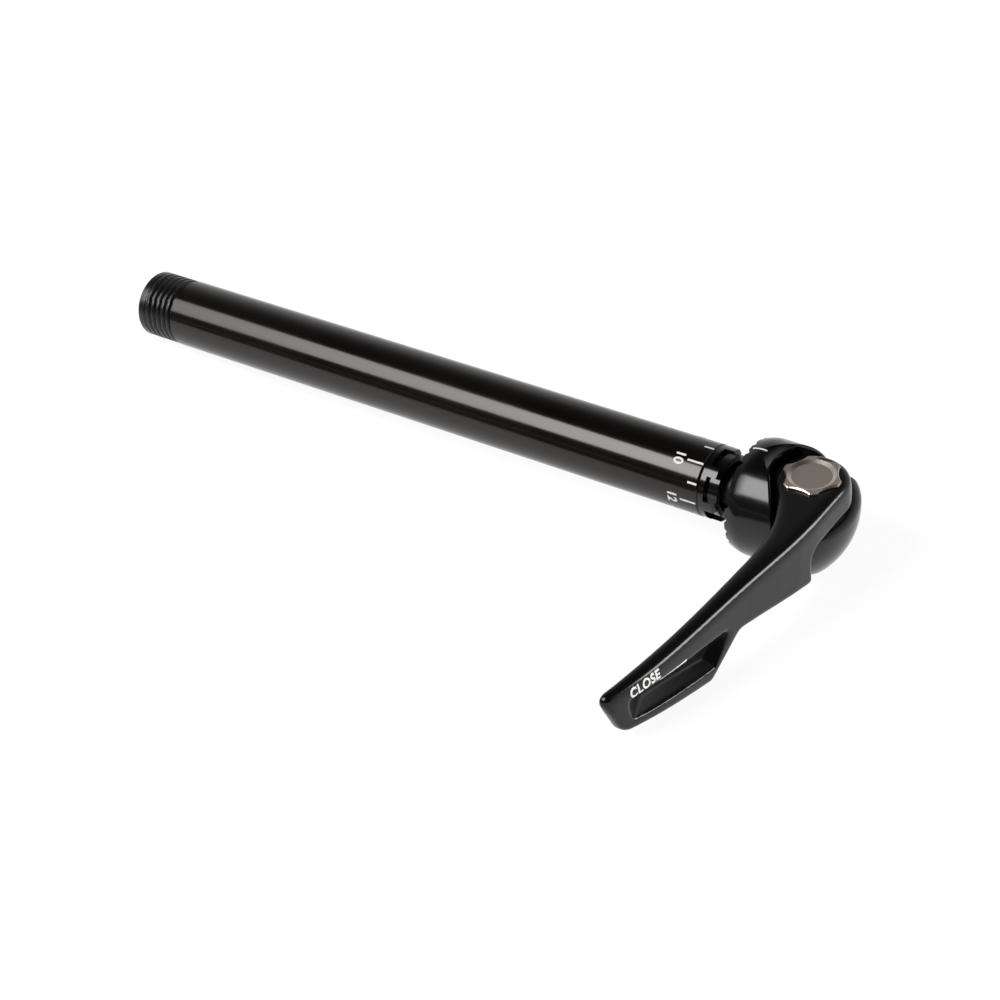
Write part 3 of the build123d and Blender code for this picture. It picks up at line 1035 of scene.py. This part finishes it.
    def sign(self, lever: Surface, frame: AxleFrame) -> list[bpy.types.Object]:
        """The plain word on the lever, and the stroke that runs on from it.

        Args:
            lever: the lever's skin.
            frame: the axle's frame.

        Returns:
            The finished marks.
        """
        form = (self.sign_height, self.sign_weight, self.sign_lean, self.sign_space)
        word = self.word("lever_sign", "CLOSE", *form)
        reach = max(vertex.co.x for vertex in word.data.vertices)
        start, end = self.sign_y
        shrink = (end - start) / 2 / reach
        for vertex in word.data.vertices:
            vertex.co.x = (start + end) / 2 + vertex.co.x * shrink
            vertex.co.y += self.sign_z + self.sign_height / 2
        stroke = self.bar("lever_stroke", (1.0, 1.0), (0.5, 0.5))
        for vertex in stroke.data.vertices:
            vertex.co = Vector((*self.along_stroke(vertex.co.y, vertex.co.x), 0.0))
        stroke.data.flip_normals()
        return [self.print_flat(obj, self.lever_lay(lever), frame) for obj in (word, stroke)]

    def along_stroke(self, share: float, side: float) -> tuple[float, float]:
        """A point of the tapering stroke, between the places that its fields give.

        Args:
            share: how far along the stroke.
            side: how far across it, from 0 to 1.

        Returns:
            The point's y and z.
        """
        spans = len(self.stroke) - 1
        place = min(share * spans, spans - TINY)
        k = int(place)
        near, far = Vector(self.stroke[k]), Vector(self.stroke[k + 1])
        y, z, width = near.lerp(far, place - k)
        return y, z + (side - 0.5) * width


@dataclass(frozen=True)
class SoftLamp:
    """A rectangular soft lamp, in the axle's frame apart from its size, which is in metres."""

    name: str
    at: Point
    aim: Point
    along: Point
    size: tuple[float, float]
    watts: float
    fade: float = 1.0

    def hang(self, frame: AxleFrame, lit: Sequence[bpy.types.Object]) -> None:
        """Make the lamp, brightest at the far end of its width.

        Args:
            frame: the axle's frame.
            lit: the only pieces that it lights, or none where it lights everything.
        """
        data = bpy.data.lights.new(self.name, "AREA")
        data.shape = "RECTANGLE"
        data.size, data.size_y = self.size
        data.energy = self.watts
        data.use_nodes = True
        tree = data.node_tree
        link = tree.links.new
        across = tree.nodes.new("ShaderNodeNewGeometry")
        split = tree.nodes.new("ShaderNodeSeparateXYZ")
        level = tree.nodes.new("ShaderNodeMapRange")
        fill(level, {"To Min": self.fade})
        link(across.outputs["Parametric"], split.inputs[0])
        link(split.outputs["X"], level.inputs["Value"])
        link(level.outputs["Result"], tree.nodes["Emission"].inputs["Strength"])
        obj = bpy.data.objects.new(self.name, data)
        bpy.context.scene.collection.objects.link(obj)
        place = frame.place(self.at)
        back = (place - frame.place(self.aim)).normalized()
        width = frame.direction(self.along)
        side = (width - back * back.dot(width)).normalized()
        turn = Matrix((side, back.cross(side), back)).transposed()
        obj.matrix_world = Matrix.Translation(place) @ turn.to_4x4()
        if lit:
            pieces = bpy.data.collections.new(f"{self.name}_lit")
            for piece in lit:
                pieces.objects.link(piece)
            obj.light_linking.receiver_collection = pieces


@dataclass
class Studio:
    """White sweep, soft lamps and the camera.

    Attributes:
        floor_paper: the floor's own grey.
        floor_white: its glow, for the rays that see it white.
        floor_share: how much of what they see is glow.
        sweep: heights and levels of the world's sweep.
        sweep_turn: how gently it darkens towards the front.
        front_share: what is left of it in front.
        sight: how near and how far the camera sees, in metres.
    """

    floor_size: float = 6.0
    floor_paper: float = 0.9
    floor_white: float = 1.06
    floor_share: float = 0.84
    # The card's dark brown is painted shade, with a painted brown tint, in the tube's reflected lower flank.
    card_middle: Point = (-170.0, -345.0, 0.0)
    card_size: tuple[float, float] = (0.62, 0.6)
    card_colour: Colour = (0.06, 0.025, 0.018)
    sweep: tuple[tuple[float, float], ...] = (
        (0.0, 0.8),
        (0.23, 0.78),
        (0.5, 0.54),
        (0.61, 0.35),
        (0.71, 0.15),
        (0.84, 0.04),
        (1.0, 0.015),
    )
    sweep_turn: float = 0.25
    front_share: float = 0.08
    sensor: float = 36.0
    lens: float = 81.17
    sight: tuple[float, float] = (0.01, 50.0)
    camera_at: Point = (342.586, -297.0, 276.137)
    camera_right: Point = (0.81455417, 0.56904728, -0.11263522)
    camera_down: Point = (0.28089635, -0.55681213, -0.78170167)
    camera_ahead: Point = (-0.50754186, 0.60509953, -0.61339695)
    key: SoftLamp = SoftLamp(
        "key", (-413.0, -535.0, 680.0), (100.0, 0.0, 0.0), (1.0, 0.0, 0.0), (0.9, 0.6), 24.0, 0.04
    )
    side: SoftLamp = SoftLamp(
        "side", (1015.0, 480.0, 250.0), (175.0, -45.0, 2.0), (-0.53, 0.85, 0.0), (0.5, 0.46), 9.8
    )

    def camera(self, frame: AxleFrame) -> None:
        """Stand the camera where the photograph was taken.

        Args:
            frame: the axle's frame.
        """
        data = bpy.data.cameras.new("camera")
        data.sensor_width = self.sensor
        data.lens = self.lens
        data.clip_start, data.clip_end = self.sight
        obj = bpy.data.objects.new("camera", data)
        bpy.context.scene.collection.objects.link(obj)
        axes = (self.camera_right, tuple(-c for c in self.camera_down), tuple(-c for c in self.camera_ahead))
        turn = Matrix([frame.direction(axis) for axis in axes]).transposed()
        obj.matrix_world = Matrix.Translation(frame.place(self.camera_at)) @ turn.to_4x4()
        bpy.context.scene.camera = obj

    @staticmethod
    def rays(tree: bpy.types.NodeTree, *kinds: str) -> bpy.types.NodeSocket:
        """A value that is 1 for some kinds of ray and 0 for the others.

        Args:
            tree: the nodes of the floor or the world.
            kinds: the Light Path outputs that name them.

        Returns:
            The socket that gives it.
        """
        path = tree.nodes.new("ShaderNodeLightPath")
        found = path.outputs[kinds[0]]
        for kind in kinds[1:]:
            either = tree.nodes.new("ShaderNodeMath")
            either.operation = "MAXIMUM"
            tree.links.new(found, either.inputs[0])
            tree.links.new(path.outputs[kind], either.inputs[1])
            found = either.outputs[0]
        return found

    def floor(self) -> bpy.types.Object:
        """A white floor that keeps a soft shadow.

        Returns:
            The floor.
        """
        bpy.ops.object.select_all(action="DESELECT")
        bpy.ops.mesh.primitive_plane_add(size=self.floor_size)
        obj = Workbench.started("floor")
        made = bpy.data.materials.new("white_floor")
        made.use_nodes = True
        tree = made.node_tree
        link = tree.links.new
        tree.nodes.remove(tree.nodes["Principled BSDF"])
        paper = tree.nodes.new("ShaderNodeBsdfDiffuse")
        fill(paper, {"Color": (*(self.floor_paper,) * 3, 1.0)})
        white = tree.nodes.new("ShaderNodeEmission")
        fill(white, {"Strength": self.floor_white})
        share = tree.nodes.new("ShaderNodeMath")
        share.operation = "MULTIPLY"
        share.inputs[1].default_value = self.floor_share
        mix = tree.nodes.new("ShaderNodeMixShader")
        link(self.rays(tree, "Is Camera Ray", "Is Glossy Ray", "Is Transmission Ray"), share.inputs[0])
        link(share.outputs[0], mix.inputs[0])
        link(paper.outputs[0], mix.inputs[1])
        link(white.outputs[0], mix.inputs[2])
        link(mix.outputs[0], tree.nodes["Material Output"].inputs["Surface"])
        obj.data.materials.append(made)
        return obj

    def card(self, frame: AxleFrame) -> None:
        """A dark card on the floor in front of the tube, unseen by the camera, that darkens its flank:
        painted shade in the tube's reflection, its brown a painted tint of that reflection.

        Args:
            frame: the axle's frame.
        """
        bpy.ops.object.select_all(action="DESELECT")
        bpy.ops.mesh.primitive_plane_add(size=1.0)
        obj = Workbench.started("reflected_shade_card")
        middle = frame.place(self.card_middle)
        obj.location = (middle.x, middle.y, MM)
        obj.scale = (*self.card_size, 1.0)
        bpy.ops.object.transform_apply(location=True, rotation=True, scale=True)
        made = bpy.data.materials.new("reflected_shade_card")
        made.use_nodes = True
        shader = made.node_tree.nodes["Principled BSDF"]
        # Painted shade: a dark brown sheet that only the tube's reflections see.
        fill(shader, {"Base Color": (*self.card_colour, 1.0), "Roughness": 1.0})
        obj.data.materials.append(made)
        obj.visible_camera = False
        obj.visible_shadow = False

    def world(self) -> None:
        """A white sweep behind the object that darkens upwards, and white for the camera."""
        world = bpy.data.worlds.new("studio")
        bpy.context.scene.world = world
        world.use_nodes = True
        tree = world.node_tree
        link = tree.links.new
        back = tree.nodes["Background"]
        where = tree.nodes.new("ShaderNodeTexCoord")
        split = tree.nodes.new("ShaderNodeSeparateXYZ")
        rise = tree.nodes.new("ShaderNodeValToRGB")
        ramp = rise.color_ramp.elements
        while len(ramp) < len(self.sweep):
            ramp.new(0.5)
        for element, (place, level) in zip(ramp, self.sweep):
            element.position = place
            element.color = (level, level, level, 1.0)
        behind = tree.nodes.new("ShaderNodeMapRange")
        turn = self.sweep_turn
        fill(behind, {"From Min": -turn, "From Max": turn, "To Min": self.front_share})
        level = tree.nodes.new("ShaderNodeMath")
        level.operation = "MULTIPLY"
        mix = tree.nodes.new("ShaderNodeMix")
        mix.inputs[3].default_value = 1.0
        link(where.outputs["Generated"], split.inputs[0])
        link(split.outputs["Z"], rise.inputs[0])
        link(split.outputs["Y"], behind.inputs["Value"])
        link(rise.outputs["Color"], level.inputs[0])
        link(behind.outputs["Result"], level.inputs[1])
        link(self.rays(tree, "Is Camera Ray", "Is Transmission Ray"), mix.inputs[0])
        link(level.outputs[0], mix.inputs[2])
        link(mix.outputs[0], back.inputs["Color"])

    def build(self, frame: AxleFrame, lever: list[bpy.types.Object]) -> None:
        """Set the whole stage.

        Args:
            frame: the axle's frame.
            lever: the pieces that the side lamp lights, apart from the floor.
        """
        self.camera(frame)
        floor = self.floor()
        self.card(frame)
        self.world()
        self.key.hang(frame, ())
        self.side.hang(frame, (*lever, floor))
        bpy.context.scene.view_settings.view_transform = "Standard"


def dress_nodes(nodes: dict[str, bpy.types.Object], paints: Paints) -> None:
    """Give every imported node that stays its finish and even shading, and leave its mesh as it is.

    Args:
        nodes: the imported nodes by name.
        paints: every finish.
    """
    for name, coat in NODE_COATS.items():
        even = nodes[name].modifiers.new("EvenShading", "WEIGHTED_NORMAL")
        even.mode = "FACE_AREA_WITH_ANGLE"
        even.keep_sharp = True
        for slot in nodes[name].material_slots:
            slot.material = paints.made[coat]
        LOG.info("node %s: %s", name, coat.value.name)


def main() -> None:
    """Load the frame, build the pieces and light them."""
    logging.basicConfig(level=logging.INFO)
    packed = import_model()
    frame = AxleFrame.from_joints(packed["joints"])
    nodes = packed["nodes"]
    paints = Paints(frame)
    dress_nodes(nodes, paints)

    axle = ThreadedTube()
    tube = axle.build(frame)
    axle.dress(tube, frame, paints)
    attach(tube, "axle")
    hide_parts("axle_tube")
    LOG.info("piece %s", tube.name)

    spring = ReturnSpring().build(nodes["return_spring"], frame)
    paints.coat(spring, Coat.WIRE)
    LOG.info("piece %s", spring.name)

    blade = CrownedLever()
    crowned = blade.build(nodes["lever"], frame)
    blade.dress(crowned, frame, paints)
    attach(crowned, "lever")
    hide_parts("lever")
    LOG.info("piece %s", crowned.name)

    prints = Prints()
    collar, lever = Surface(nodes["cam_housing"], frame), Surface(crowned, frame)
    marks = [(mark, "axle") for mark in prints.scale_marks(frame)]
    marks.append((prints.pointer(collar, frame), "housing"))
    marks += [(mark, "lever") for mark in prints.sign(lever, frame)]
    for mark, body in marks:
        paints.coat(mark, Coat.PRINT)
        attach(mark, body)
        LOG.info("piece %s", mark.name)

    Studio().build(frame, [crowned, *(mark for mark, body in marks if body == "lever")])


if __name__ == "__main__":
    main()
